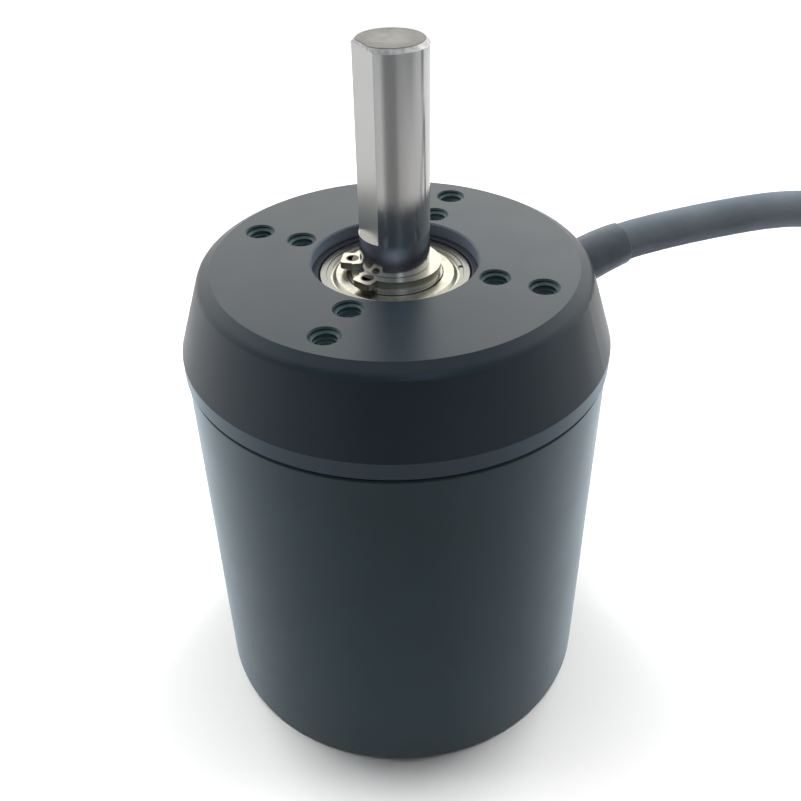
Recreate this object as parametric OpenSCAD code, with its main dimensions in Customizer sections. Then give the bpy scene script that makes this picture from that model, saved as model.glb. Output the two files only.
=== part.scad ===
// Brushless DC motor with an outside rotor, a 10 mm D shaft and one lead out of its front cap.
// Z = 0 is the rear end that it stands on, and the shaft points up along +Z.

/* [Housing] */
// Outer diameter of the turning can
can_d = 62.4; // [60:0.2:80]
// Wall of the turning can
can_wall = 2.6; // [2.2:0.1:3]
// How far the front cap stands out past the can, on each side
cap_lip = 0.3; // [0:0.1:1]
// Height of the front cap, from its lower rim to its face
cap_h = 14.35; // [12:0.05:16]
// Height of the straight band at the foot of the cap
cap_band_h = 2.65; // [1:0.05:4]
// Lean of the cap's flank from the vertical, in degrees
cap_lean = 18; // [10:1:20]
// Height of the bevel between the cap's flank and its face
cap_bevel_h = 1; // [0.6:0.05:1.4]
// Slope of that bevel below the face, in degrees
cap_bevel_lean = 28; // [24:1:40]
// Radius between the bevel and the flank
cap_edge_r = 1.5; // [0.5:0.1:3]
// Thickness of the cap's plate
cap_plate_t = 6.5; // [6.2:0.1:9]
// Gap between the cap's rim and the can
seam_gap = 0.5; // [0.3:0.05:0.9]
// Thickness of the cap's skirt inside the can
skirt_t = 1.8; // [1.2:0.1:2]
// How far the skirt reaches down into the can
skirt_h = 3; // [1:0.25:4]
// Radial gap between the skirt and the can
skirt_gap = 0.4; // [0.3:0.05:0.6]

/* [Shaft] */
// Diameter of the shaft
shaft_d = 10; // [9:0.5:10.5]
// Length of the shaft above the mounting face
shaft_out = 30.4; // [20:0.2:45]
// Depth of the flat along the shaft
flat_depth = 1; // [0.5:0.1:1.5]
// Height above the mounting face where the flat starts, at a square step
flat_start = 4.2; // [2:0.2:12]
// Direction that the flat faces, in degrees
flat_dir = 231; // [0:1:359]
// Bevel at both ends of the shaft
shaft_bevel = 0.6; // [0.2:0.1:1]

/* [Mounting holes] */
// Circle of the four outer tapped holes
outer_pcd = 44; // [41:0.5:45]
// Circle of the four inner tapped holes
inner_pcd = 30; // [29:0.5:33]
// Nominal diameter of the tapped holes
screw_d = 4; // [3:0.5:4]
// Depth of the tapped holes
hole_depth = 5; // [3:0.25:5.5]
// Bevel at the mouth of each hole
hole_bevel = 0.2; // [0.1:0.05:0.4]

/* [Bearings] */
// Outer diameter of the bearings
brg_d = 22; // [20:0.5:23]
// Width of the bearings
brg_w = 6; // [5.5:0.25:7]
// Diameter of the balls
ball_d = 3.175; // [2.8:0.025:3.4]
// Depth of the front bearing below the mounting face
brg_sink = 2.15; // [1.9:0.05:3]
// Diameter of the recess above the front bearing
recess_d = 23.9; // [23.2:0.1:25]

/* [Stator] */
// Length of the laminated stack
core_len = 38; // [20:1:60]
// Gap between the stack and the magnets
air_gap = 0.7; // [0.4:0.05:1]
// Wall of the tube that carries the stack, outside the bearings
tube_wall = 2; // [1.5:0.1:2.5]
// Width of a tooth
tooth_w = 5.2; // [4:0.1:6]
// Part of the stack's depth that the ring behind the teeth takes
yoke_part = 0.333; // [0.25:0.01:0.4]
// Thickness of a tooth's shoe at the air gap
shoe_t = 1.4; // [1:0.1:1.8]
// Opening between two shoes, in degrees
slot_open = 4; // [3:0.5:7]
// Thickness of the plastic end insulators
insul_t = 1; // [0.6:0.1:1.6]
// Build of a winding round its tooth
coil_t = 3; // [2:0.1:3.6]
// Height of the wiring space above the stack
wire_room = 16.5; // [16:0.5:24]

/* [Rotor] */
// Thickness of the magnets
magnet_t = 2.85; // [2:0.05:3.2]
// How far the magnets reach past the stack, at each end
magnet_over = 2; // [0:0.25:3]
// Gap between neighbouring magnets, in degrees
magnet_gap = 3; // [1:0.5:8]
// Thickness of the rear cover's plate
cover_t = 4; // [3:0.25:6]
// Diameter of the rear cover's hub
hub_d = 19; // [17:0.5:21]
// Height of the hub above the plate
hub_h = 5.5; // [5:0.25:9]
// Length of the spacer between hub and rear bearing
spacer_t = 1; // [0.6:0.1:2]
// Depth of the turned pocket in the rear face
pocket_depth = 0.8; // [0.3:0.1:1.2]

/* [Lead] */
// Diameter of the lead's jacket
cable_d = 6; // [5.4:0.1:6]
// Wall of the shrunk sleeve at the cap
sleeve_t = 0.55; // [0.4:0.05:0.6]
// Length of the sleeve outside the cap
sleeve_out = 8.2; // [4:0.2:9]

/* [Hidden] */
$fn = 96;

fit = 0.02;            // gap of a pressed or glued fit
eps = 0.01;            // overshoot of a cut
slots = 12;
poles = 14;
cable_dir = 45;        // direction in which the lead leaves the cap
cable_drop = 7.5;      // depth of its hole below the mounting face

// Radii, from the can inwards
can_r = can_d / 2;
can_bore_r = can_r - can_wall;
cap_r = can_r + cap_lip;
skirt_r = can_bore_r - skirt_gap;
cavity_r = skirt_r - skirt_t;
magnet_out_r = can_bore_r - fit;
magnet_in_r = magnet_out_r - magnet_t;
core_r = magnet_in_r - air_gap;
tube_r = brg_d / 2 + tube_wall;
yoke_r = tube_r + yoke_part * (core_r - tube_r);
shaft_r = shaft_d / 2;
seat_r = brg_d / 2 + fit;
recess_r = recess_d / 2;
hub_r = hub_d / 2;
cover_r = can_bore_r + 0.8;

// Heights, from the rear end upwards
hub_top = cover_t + hub_h;
rear_brg_z = hub_top + spacer_t;
tube_z = rear_brg_z + 0.3;
washer_room = 0.9;
washer_z = rear_brg_z + brg_w;
core_z = rear_brg_z + 3.5;
core_top = core_z + core_len;
ceiling_z = core_top + wire_room;
face_z = ceiling_z + cap_plate_t;
rim_z = face_z - cap_h;
can_top = rim_z - seam_gap;
brg_top = face_z - brg_sink;
front_brg_z = brg_top - brg_w;
shaft_top = face_z + shaft_out;
shaft_low = 0.6;

// Foot of the flat, and how much finer the shaft is ground below it
flat_z = face_z + flat_start;
journal_cut = 0.02;

// The cap's flank, as the radius where its line would meet the face, and the bevel above it
corner_r = cap_r - tan(cap_lean) * (cap_h - cap_band_h);
bevel_r = corner_r + tan(cap_lean) * cap_bevel_h;
bevel_z = face_z - cap_bevel_h;
flat_r = bevel_r - cap_bevel_h / tan(cap_bevel_lean);
edge_run = cap_edge_r * tan((90 - cap_lean - cap_bevel_lean) / 2);
exit_r = corner_r + tan(cap_lean) * cable_drop;
exit_z = face_z - cable_drop;

// Bearing races
pitch_r = (brg_d / 2 + shaft_r) / 2;
race_r = ball_d / 2 + 0.04;
inner_land_r = pitch_r - 1.2;
outer_land_r = pitch_r + 0.95;
shield_seat_r = outer_land_r + 0.9;
shield_depth = 0.8;

// The retaining ring in its groove
clip_t = 1;
clip_groove = 0.2;
shim_t = 0.6;
shim_r = shaft_r + 1.3;
clip_z = brg_top + shim_t + 0.04;
clip_dir = 224.8;
lug_angle = 30.5;
lug_hole_r = 0.75;
clip_open = 14;

// Windings
coil_gap = 0.6;
coil_in_r = yoke_r + 0.9 + 0.4;
coil_out_r = core_r - shoe_t - coil_gap;
liner = 0.3;
coil_end = insul_t + liner + coil_t;
board_z = core_top + coil_end + 3.2;
board_t = 1.2;
board_dir = 225;
board_half = 60;
post_r = 1.2;
post_pcr = tube_r + 3.3;

// Shapes that several pieces share
module tapped_circle(pcd) {
    for (i = [0:3]) rotate([0, 0, 90 * i]) translate([pcd / 2, 0, face_z]) {
        translate([0, 0, -hole_depth]) cylinder(d = screw_d, h = hole_depth + eps);
        translate([0, 0, -hole_depth - 0.6])
            cylinder(r1 = 0.4, r2 = screw_d / 2, h = 0.6 + eps);
        translate([0, 0, -hole_bevel])
            cylinder(r1 = screw_d / 2, r2 = screw_d / 2 + hole_bevel + eps, h = hole_bevel + eps);
    }
}

module on_exit_axis() {
    rotate([0, 0, cable_dir]) translate([exit_r, 0, exit_z]) rotate([0, 90 - cap_lean, 0]) children();
}

module sector(half, r) {
    polygon([[0, 0], [r * cos(half), -r * sin(half)], [r, 0], [r * cos(half), r * sin(half)]]);
}

// One smooth tube along a list of points
function unit(v) = v / norm(v);
function heading(p, i) = unit(p[min(i + 1, len(p) - 1)] - p[max(i - 1, 0)]);
function polar(a, r, z) = [r * cos(a), r * sin(a), z];

module tube(p, r, sides) {
    n = len(p);
    rings = [for (i = [0:n - 1])
        let (t = heading(p, i), side = unit(cross(t, [0, 0, 1])), up = cross(side, t))
        for (k = [0:sides - 1])
            p[i] + r * (cos(360 * k / sides) * side + sin(360 * k / sides) * up)];
    walls = [for (i = [0:n - 2]) for (k = [0:sides - 1])
        let (a = i * sides + k, b = i * sides + (k + 1) % sides)
        [a, a + sides, b + sides, b]];
    ends = [[for (k = [0:sides - 1]) k], [for (k = [sides - 1:-1:0]) (n - 1) * sides + k]];
    polyhedron(rings, concat(walls, ends));
}

// Front cap: plate, leaning flank, skirt and the tube that carries the stack, turned from one bar
module cap_section() {
    difference() {
        polygon([
            [tube_r, tube_z], [tube_r, core_top], [tube_r + 1.5, core_top],
            [tube_r + 1.5, front_brg_z - 1], [tube_r + 5, front_brg_z - 1],
            [tube_r + 5, ceiling_z], [cavity_r, ceiling_z],
            [cavity_r, rim_z - skirt_h], [skirt_r, rim_z - skirt_h], [skirt_r, rim_z],
            [cap_r - 0.15, rim_z], [cap_r, rim_z + 0.15], [cap_r, rim_z + cap_band_h],
            [bevel_r, bevel_z], [flat_r, face_z],
            [recess_r + 0.15, face_z], [recess_r, face_z - 0.15],
            [recess_r, brg_top + 0.05], [seat_r, brg_top + 0.05], [seat_r, front_brg_z],
            [shaft_r + 4.6, front_brg_z], [shaft_r + 4.6, washer_z + washer_room],
            [seat_r, washer_z + washer_room], [seat_r, tube_z]
        ]);
        let (on_bevel = [bevel_r, bevel_z] + edge_run * [-cos(cap_bevel_lean), sin(cap_bevel_lean)],
             middle = on_bevel - cap_edge_r * [sin(cap_bevel_lean), cos(cap_bevel_lean)])
            difference() {
                polygon([on_bevel, [bevel_r + eps, bevel_z + eps],
                    [bevel_r, bevel_z] + edge_run * [sin(cap_lean), -cos(cap_lean)], middle]);
                translate(middle) circle(r = cap_edge_r);
            }
    }
}

module front_cap() color([0.16, 0.18, 0.2]) difference() {
    rotate_extrude() cap_section();
    tapped_circle(outer_pcd);
    tapped_circle(inner_pcd);
    on_exit_axis() translate([0, 0, -8]) cylinder(d = cable_d + 2 * sleeve_t + 0.4, h = 12);
}

// Ball bearings: rings, balls, cage, shields and the wire rings that hold the shields
module outer_ring(z) color([0.78, 0.78, 0.75]) translate([0, 0, z]) rotate_extrude() difference() {
    polygon([
        [shield_seat_r, 0], [brg_d / 2 - 0.3, 0], [brg_d / 2, 0.3], [brg_d / 2, brg_w - 0.3],
        [brg_d / 2 - 0.3, brg_w], [shield_seat_r, brg_w], [shield_seat_r, brg_w - shield_depth],
        [outer_land_r, brg_w - shield_depth], [outer_land_r, shield_depth],
        [shield_seat_r, shield_depth]
    ]);
    translate([pitch_r, brg_w / 2]) circle(r = race_r);
}

module inner_ring(z) color([0.78, 0.78, 0.75]) translate([0, 0, z]) rotate_extrude() difference() {
    polygon([
        [shaft_r + fit, 0.3], [shaft_r + fit + 0.3, 0], [inner_land_r, 0], [inner_land_r, brg_w],
        [shaft_r + fit + 0.3, brg_w], [shaft_r + fit, brg_w - 0.3]
    ]);
    translate([pitch_r, brg_w / 2]) circle(r = race_r);
}

balls = 9;

module balls(z) color([0.85, 0.85, 0.85]) for (i = [0:balls - 1])
    rotate([0, 0, 360 * i / balls]) translate([pitch_r, 0, z + brg_w / 2]) sphere(d = ball_d);

module cage(z) color([0.72, 0.6, 0.35]) translate([0, 0, z + brg_w / 2]) difference() {
    rotate_extrude() translate([pitch_r - 0.75, -ball_d / 2 - 0.3])
        square([1.5, ball_d / 2 + 0.3 + 0.9]);
    for (i = [0:balls - 1]) rotate([0, 0, 360 * i / balls]) translate([pitch_r, 0, 0])
        sphere(d = ball_d + 0.16);
}

module shield_section() {
    polygon([
        [shield_seat_r - 0.05, 0.5], [shield_seat_r - 0.05, 0.8], [outer_land_r - 0.1, 0.8],
        [outer_land_r - 0.6, 0.4], [inner_land_r + 0.15, 0.4], [inner_land_r + 0.15, 0.1],
        [outer_land_r - 0.5, 0.1], [outer_land_r, 0.5]
    ]);
}

module snap_ring_section() {
    translate([shield_seat_r - 0.55, 0.12]) square([0.5, 0.38]);
}

// Two like rings, one at each face of a bearing, the second one upside down
module both_faces(z) {
    translate([0, 0, z + brg_w]) mirror([0, 0, 1]) children();
    translate([0, 0, z]) children();
}

module shields(z) color([0.8, 0.79, 0.74]) both_faces(z) rotate_extrude() shield_section();

module snap_rings(z) color([0.8, 0.79, 0.74]) both_faces(z)
    rotate([0, 0, 33]) rotate_extrude(angle = 356) snap_ring_section();

// Wave washer that presses the rear bearing against its spacer
waves = 3;
washer_t = 0.25;

module wave_washer() color([0.6, 0.6, 0.58]) {
    steps = 60;
    inner = brg_d / 2 - 2;
    outer = brg_d / 2 - 0.2;
    swing = (washer_room - washer_t) / 2 - fit;
    mid = washer_z + washer_room / 2;
    points = [for (i = [0:steps - 1]) let (a = 360 * i / steps, z = mid + swing * sin(waves * a))
        for (c = [[inner, -1], [outer, -1], [outer, 1], [inner, 1]])
            polar(a, c[0], z + c[1] * washer_t / 2)];
    polyhedron(points, [for (i = [0:steps - 1]) for (k = [0:3])
        let (a = 4 * i + k, b = 4 * i + (k + 1) % 4, j = (i + 1) % steps)
        [a, 4 * j + k, 4 * j + (k + 1) % 4, b]]);
}

// Stator: the laminated stack, its end insulators and twelve coils
module tooth_outline(half) {
    square_w = tooth_w;
    translate([yoke_r - 1, -square_w / 2]) square([core_r - shoe_t / 2 - yoke_r + 1, square_w]);
    intersection() {
        difference() {
            circle(r = core_r);
            circle(r = core_r - shoe_t);
        }
        sector(half, 2 * core_r);
    }
}

module core_section() {
    difference() {
        circle(r = yoke_r);
        circle(r = tube_r + fit);
    }
    for (i = [0:slots - 1]) rotate([0, 0, 360 * i / slots]) tooth_outline((360 / slots - slot_open) / 2);
}

module stator_core() color([0.45, 0.46, 0.47]) translate([0, 0, core_z])
    linear_extrude(core_len) core_section();

flange_half = 9;
wall_h = 4;

module insulator() {
    linear_extrude(insul_t) difference() {
        union() {
            circle(r = yoke_r);
            for (i = [0:slots - 1]) rotate([0, 0, 360 * i / slots]) {
                translate([0, -tooth_w / 2]) square([core_r - shoe_t, tooth_w]);
                intersection() {
                    difference() {
                        circle(r = core_r - 0.4);
                        circle(r = core_r - shoe_t - 0.2);
                    }
                    sector(flange_half + 2, 2 * core_r);
                }
            }
        }
        circle(r = tube_r + 1.8);
    }
    linear_extrude(insul_t + wall_h) difference() {
        circle(r = yoke_r + 0.9);
        circle(r = yoke_r);
    }
    for (i = [0:slots - 1]) rotate([0, 0, 360 * i / slots])
        linear_extrude(insul_t + wall_h) intersection() {
            difference() {
                circle(r = core_r - 0.4);
                circle(r = core_r - shoe_t - 0.2);
            }
            sector(flange_half, 2 * core_r);
        }
}

module top_insulator() color([0.85, 0.83, 0.76]) {
    translate([0, 0, core_top]) insulator();
    for (a = [-1:1]) rotate([0, 0, board_dir + a * (board_half - 10)])
        translate([post_pcr, 0, core_top]) difference() {
            cylinder(r = post_r, h = board_z - core_top);
            translate([0, 0, board_z - core_top - screw_in - 0.6])
                cylinder(r = screw_r + fit, h = screw_in + 1);
        }
}

module bottom_insulator() color([0.85, 0.83, 0.76])
    translate([0, 0, core_z]) mirror([0, 0, 1]) insulator();

module soft_rect(w, h, r) {
    square([w - 2 * r, h], center = true);
    square([w, h - 2 * r], center = true);
    for (x = [-1, 1]) for (y = [-1, 1]) translate([x * (w / 2 - r), y * (h / 2 - r)]) circle(r = r);
}

module coil() {
    hole_w = tooth_w + 2 * liner;
    hole_h = core_len + 2 * (insul_t + liner);
    intersection() {
        translate([coil_in_r, 0, core_z + core_len / 2]) rotate([90, 0, 90])
            linear_extrude(coil_out_r - coil_in_r) difference() {
                soft_rect(hole_w + 2 * coil_t, hole_h + 2 * coil_t, coil_t + 0.6);
                soft_rect(hole_w, hole_h, 0.6);
            }
        translate([0, 0, core_z - 2 * coil_end]) linear_extrude(core_len + 4 * coil_end)
            sector(180 / slots - 0.5, 2 * core_r);
    }
}

module phase(first) {
    for (pair = [first, first + slots / 2]) for (i = [pair, pair + 1])
        rotate([0, 0, 360 * i / slots]) coil();
}

module phase_u_coils() color([0.72, 0.36, 0.18]) phase(0);
module phase_v_coils() color([0.72, 0.36, 0.18]) phase(2);
module phase_w_coils() color([0.72, 0.36, 0.18]) phase(4);

link_r = 0.55;

module phase_links() color([0.75, 0.2, 0.15]) for (i = [0:2])
    rotate([0, 0, 15 + 60 * i]) translate([0, 0, core_z - coil_end - link_r - 0.1])
        rotate_extrude(angle = 180) translate([coil_in_r + 0.9 + 1.5 * i, 0]) circle(r = link_r);

module star_joint() color([0.1, 0.1, 0.1]) rotate([0, 0, -15])
    translate([coil_in_r + 2.4, 0, core_top + coil_end + 1.75]) rotate([90, 0, 0])
        cylinder(r = 1.7, h = 9, center = true);

// Sensor board on its three posts
module board_section() difference() {
    intersection() {
        circle(r = core_r - 0.2);
        rotate([0, 0, board_dir]) sector(board_half, 2.2 * core_r);
    }
    circle(r = tube_r + 1.8);
    for (a = [-1:1]) rotate([0, 0, board_dir + a * (board_half - 10)])
        translate([post_pcr, 0]) circle(r = 0.9);
}

module hall_board() color([0.1, 0.35, 0.2]) translate([0, 0, board_z])
    linear_extrude(board_t) board_section();

chip = [1.7, 3, 1.2];

module hall_sensors() color([0.08, 0.08, 0.08]) for (a = [-1:1])
    rotate([0, 0, board_dir + a * 120 / (poles / 2)])
        translate([core_r - chip[0] - 0.5, -chip[1] / 2, board_z - chip[2]]) cube(chip);

screw_in = 3.4;
screw_r = 0.58;

module board_screws() color([0.7, 0.7, 0.7]) for (a = [-1:1])
    rotate([0, 0, board_dir + a * (board_half - 10)]) translate([post_pcr, 0, board_z]) {
        translate([0, 0, board_t]) difference() {
            cylinder(r = 1.6, h = 1.1);
            translate([0, 0, 0.5]) cylinder(r = 0.8, h = 1, $fn = 6);
        }
        translate([0, 0, -screw_in]) cylinder(r = screw_r, h = screw_in + board_t);
    }

// Wires inside the cap, as angle, radius and height above the stack
wire_r = 1.1;
sensor_wire_r = 0.8;
inner_u = [[41.3, 23.2, 12.6], [36, 22.9, 11.2], [29, 22.2, 9.2], [22, 21.5, 7.3], [16, 20.9, 5.6]];
inner_v = [[45, 22.7, 14.6], [50, 21.4, 14.3], [56, 20.6, 13], [62, 20.2, 11], [69, 20.2, 8.2],
    [76, 20.5, 5.6]];
inner_w = [[48.7, 23.2, 12.6], [53, 23.5, 11.2], [60, 23.5, 10.2], [70, 23.2, 9.6], [82, 22.9, 8.8],
    [98, 22.6, 7.8], [115, 22.2, 6.9], [130, 21.6, 6.2], [138, 21.2, 5.5]];
inner_sensor = [[45, 23.7, 11.2], [47, 21.4, 10.5], [54, 18.9, 10], [66, 17.8, 9.8],
    [82, 17.6, 9.7], [98, 17.6, 9.7], [114, 17.6, 9.7], [130, 17.6, 9.7], [146, 17.8, 9.7],
    [160, 18.4, 9.65], [170, 19, 9.65]];
function placed(list) = [for (p = list) polar(p[0], p[1], core_top + p[2])];

module inner_lead_u() color([0.7, 0.1, 0.1]) tube(placed(inner_u), wire_r, 8);
module inner_lead_v() color([0.8, 0.7, 0.1]) tube(placed(inner_v), wire_r, 8);
module inner_lead_w() color([0.1, 0.2, 0.6]) tube(placed(inner_w), wire_r, 8);
module inner_sensor_lead() color([0.1, 0.1, 0.1]) tube(placed(inner_sensor), sensor_wire_r, 8);

// Lead out of the cap: shrunk sleeve, jacketed lead, its coil on the table and its tail
sleeve_in = 4.5;

module strain_sleeve() color([0.08, 0.09, 0.1]) on_exit_axis() rotate_extrude() {
    bore = cable_d / 2 + 0.1;
    wall_r = cable_d / 2 + sleeve_t + 0.05;
    polygon([
        [bore, -sleeve_in], [wall_r, -sleeve_in], [wall_r, 2],
        [cable_d / 2 + sleeve_t * 0.7, sleeve_out - 1.2], [bore + 0.18, sleeve_out], [bore, sleeve_out]
    ]);
}

cable_route = [[16.3, 16.3, 65.2], [18.8, 18.8, 66.35], [21.25, 21.25, 67.5], [24, 24, 68.75],
    [26.8, 26.8, 70.05], [30.5, 30.5, 71.2], [34, 34, 71.6], [37.5, 37.5, 71.5],
    [41, 41, 71.1], [44.5, 44.5, 70.5], [48, 48, 69.8], [51.5, 51.5, 68.9], [55.2, 54.6, 67.7],
    [59.4, 56.9, 66.2], [64, 58.4, 64.1], [68.8, 59, 61.5], [73.6, 59, 58.5], [78.5, 58.8, 55.1],
    [83.3, 58.5, 51.1], [88.1, 58.1, 46.9], [92.9, 57.4, 42.6], [97.6, 56.6, 38.3],
    [102.4, 55.5, 34], [107, 54.2, 29.8], [111.6, 52.7, 25.8], [116, 50.8, 22],
    [120.3, 48.6, 18.7], [124.5, 46.1, 15.6], [128.4, 43.3, 12.8], [132.1, 40.3, 10.8],
    [135.6, 36.9, 9.6]];
coil_centre = [122, 8];
coil_turn_r = 33;
coil_lift = 0.6;
tail_route = [[128.3, -27.6, 3.6], [124.5, -28.2, 3.6], [120.8, -28.9, 3.6], [117, -29.5, 3.7],
    [113.3, -30.2, 3.8], [109.5, -30.9, 3.9], [105.8, -31.5, 4]];

module cable() color([0.1, 0.11, 0.12]) tube(cable_route, cable_d / 2, 10);
module cable_tail() color([0.1, 0.11, 0.12]) tube(tail_route, cable_d / 2, 10);

module bundle_section(extra) {
    for (x = [-1, 1]) translate([coil_turn_r + x * (cable_d / 2 + 0.1), coil_lift + cable_d / 2])
        circle(r = cable_d / 2 + extra);
    translate([coil_turn_r - cable_d / 2 - 0.1, coil_lift - extra])
        square([cable_d + 0.2, cable_d + 2 * extra]);
}

module cable_coil() color([0.1, 0.11, 0.12]) translate([coil_centre[0], coil_centre[1], 0])
    rotate_extrude() bundle_section(0);

tie_w = 2.5;
tie_dir = -35;

module cable_tie() color([0.85, 0.85, 0.82]) translate([coil_centre[0], coil_centre[1], 0])
    rotate([0, 0, tie_dir]) {
        translate([0, tie_w / 2, 0]) rotate([90, 0, 0]) linear_extrude(tie_w) difference() {
            bundle_section(coil_lift);
            bundle_section(0.08);
        }
        translate([coil_turn_r - 2.2, -2.2, coil_lift * 2 + cable_d]) cube([4.4, 4.4, 3.2]);
        translate([coil_turn_r - 0.5, -tie_w / 2, coil_lift * 2 + cable_d + 3.2])
            cube([1, tie_w, 5]);
    }

// End of the lead: boot, three phase leads with bullets and the sensor lead with its plug
end_dir = 190;
boot_r = 4;
boot_l = 12;
boot_at = [105.8, -31.5, 4];
lead_r = 1.4;
sensor_r = 1.1;
bullet_r = 2.1;
bullet_sleeve_r = 2.6;

module at_end(along, across, z) {
    translate([boot_at[0], boot_at[1], z]) rotate([0, 0, end_dir]) translate([along, across, 0])
        children();
}

module end_boot() color([0.07, 0.07, 0.08]) at_end(0, 0, boot_r) rotate([0, 90, 0])
    rotate_extrude() polygon([[0, 0], [cable_d / 2 + 0.3, 0], [boot_r, 2], [boot_r, boot_l - 1],
        [boot_r - 0.4, boot_l], [0, boot_l]]);

// Points of the short leads: along the boot's line, across it, and height
lead_u = [[12, -2.4, 3], [16, -2.8, 3], [20, -3.8, 2.9], [24, -5.1, 2.8], [28, -6.4, 2.7],
    [32, -7.4, 2.6], [36, -8.1, 2.6], [40, -8.4, 2.6], [43.5, -8.4, 2.6]];
lead_v = [[12, -0.6, 5.6], [16, -0.7, 5.4], [20, -1, 4.9], [24, -1.4, 4.2], [28, -1.9, 3.5],
    [32, -2.3, 2.9], [36, -2.6, 2.6], [40, -2.8, 2.6], [43.5, -2.8, 2.6]];
lead_w = [[12, 0.6, 2], [16, 0.8, 2], [20, 1.3, 2.1], [24, 1.8, 2.3], [28, 2.3, 2.5],
    [32, 2.6, 2.6], [36, 2.8, 2.6], [40, 2.8, 2.6], [43.5, 2.8, 2.6]];
lead_s = [[12, 2.7, 4], [15, 3.2, 3.6], [18, 4.4, 2.9], [21, 6, 2.1], [24, 7.7, 1.5],
    [27, 9.1, 1.3], [30, 10.1, 1.3], [33, 10.7, 1.6], [36, 11, 2], [39.5, 11, 2.3], [43, 11, 2.4]];
function from_boot(list) = [for (p = list)
    [boot_at[0] + p[0] * cos(end_dir) - p[1] * sin(end_dir),
     boot_at[1] + p[0] * sin(end_dir) + p[1] * cos(end_dir), p[2]]];

module phase_lead_u() color([0.7, 0.1, 0.1]) tube(from_boot(lead_u), lead_r, 8);
module phase_lead_v() color([0.8, 0.7, 0.1]) tube(from_boot(lead_v), lead_r, 8);
module phase_lead_w() color([0.1, 0.2, 0.6]) tube(from_boot(lead_w), lead_r, 8);
module sensor_lead() color([0.1, 0.1, 0.1]) tube(from_boot(lead_s), sensor_r, 8);

bullet_sleeve_l = 7.6;
bullet_spring_l = 8;

module bullet(list) at_end(list[len(list) - 1][0], list[len(list) - 1][1], bullet_sleeve_r)
    let (collar = bullet_sleeve_l + 0.4, tip = collar + 1.4 + bullet_spring_l)
    rotate([0, 90, 0]) rotate_extrude() polygon([[0, 0], [bullet_r - 0.3, 0],
        [bullet_r - 0.3, collar], [bullet_r + 0.2, collar], [bullet_r + 0.2, collar + 1],
        [bullet_r - 0.5, collar + 1.4], [bullet_r - 0.1, tip - 5.4], [bullet_r - 0.1, tip - 2.4],
        [bullet_r - 0.6, tip - 0.4], [bullet_r - 1.2, tip + 0.2], [0, tip + 0.2]]);

module bullet_sleeve(list) at_end(list[len(list) - 1][0], list[len(list) - 1][1], bullet_sleeve_r)
    rotate([0, 90, 0]) rotate_extrude() translate([bullet_r - 0.28, 0])
        square([bullet_sleeve_r - bullet_r + 0.28, bullet_sleeve_l]);

module bullet_u() color([0.85, 0.65, 0.25]) bullet(lead_u);
module bullet_v() color([0.85, 0.65, 0.25]) bullet(lead_v);
module bullet_w() color([0.85, 0.65, 0.25]) bullet(lead_w);
module bullet_sleeve_u() color([0.6, 0.1, 0.1]) bullet_sleeve(lead_u);
module bullet_sleeve_v() color([0.7, 0.6, 0.1]) bullet_sleeve(lead_v);
module bullet_sleeve_w() color([0.1, 0.2, 0.5]) bullet_sleeve(lead_w);

plug = [8, 10.4, 4.8];
ways = 6;
way_pitch = 1.5;
pocket = [4, 1.1, 2];

module sensor_plug() color([0.9, 0.9, 0.87]) let (at = lead_s[len(lead_s) - 1])
    at_end(at[0], at[1], 0) difference() {
        union() {
            translate([0, -plug[1] / 2, 0]) cube(plug);
            for (y = [-1, 1]) translate([1, y * 3.1 - 0.7, plug[2]]) cube([plug[0] - 2, 1.4, 0.7]);
        }
        for (i = [0:ways - 1])
            translate([plug[0] - pocket[0], (i - (ways - 1) / 2) * way_pitch - pocket[1] / 2, 1.4])
                cube([pocket[0] + 1, pocket[1], pocket[2]]);
    }

// Rotor: shaft, retaining ring and shim, can, magnets, rear cover with its grub screws
module shaft() color([0.75, 0.76, 0.78]) let (journal_r = shaft_r - journal_cut) difference() {
    rotate_extrude() polygon([
        [0, shaft_low], [journal_r - shaft_bevel, shaft_low], [journal_r, shaft_low + shaft_bevel],
        [journal_r, clip_z - 0.05], [shaft_r - clip_groove, clip_z - 0.05],
        [shaft_r - clip_groove, clip_z + clip_t + 0.05], [journal_r, clip_z + clip_t + 0.05],
        [journal_r, flat_z + journal_cut], [shaft_r, flat_z + 2 * journal_cut],
        [shaft_r, shaft_top - shaft_bevel], [shaft_r - shaft_bevel, shaft_top], [0, shaft_top]
    ]);
    rotate([0, 0, flat_dir]) translate([shaft_r - flat_depth, -shaft_r, flat_z])
        cube([shaft_r, shaft_d, shaft_top - flat_z + 1]);
    translate([0, 0, shaft_low - eps]) cylinder(r1 = 1.6, r2 = 0.5, h = 1.9);
}

module clip_section() {
    difference() {
        translate([-0.22, 0]) circle(r = shaft_r + 1.35);
        circle(r = shaft_r - clip_groove + fit);
        sector(clip_open, 3 * shaft_r);
    }
    for (s = [-1, 1]) rotate([0, 0, s * lug_angle]) difference() {
        translate([shaft_r, 0]) {
            translate([0, -1.5]) square([2.2, 3]);
            translate([0, -1.1]) square([2.7, 2.2]);
            for (y = [-1, 1]) translate([2.2, y]) circle(r = 0.5);
        }
        translate([shaft_r + 1.15, 0]) circle(r = lug_hole_r);
        circle(r = shaft_r - clip_groove + fit);
    }
}

module shaft_circlip() color([0.8, 0.79, 0.75]) translate([0, 0, clip_z]) rotate([0, 0, clip_dir])
    linear_extrude(clip_t) clip_section();

module shim_washer() color([0.7, 0.69, 0.66]) translate([0, 0, brg_top + fit]) difference() {
    cylinder(r = shim_r, h = shim_t);
    translate([0, 0, -1]) cylinder(r = shaft_r + fit, h = shim_t + 2);
}

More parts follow.
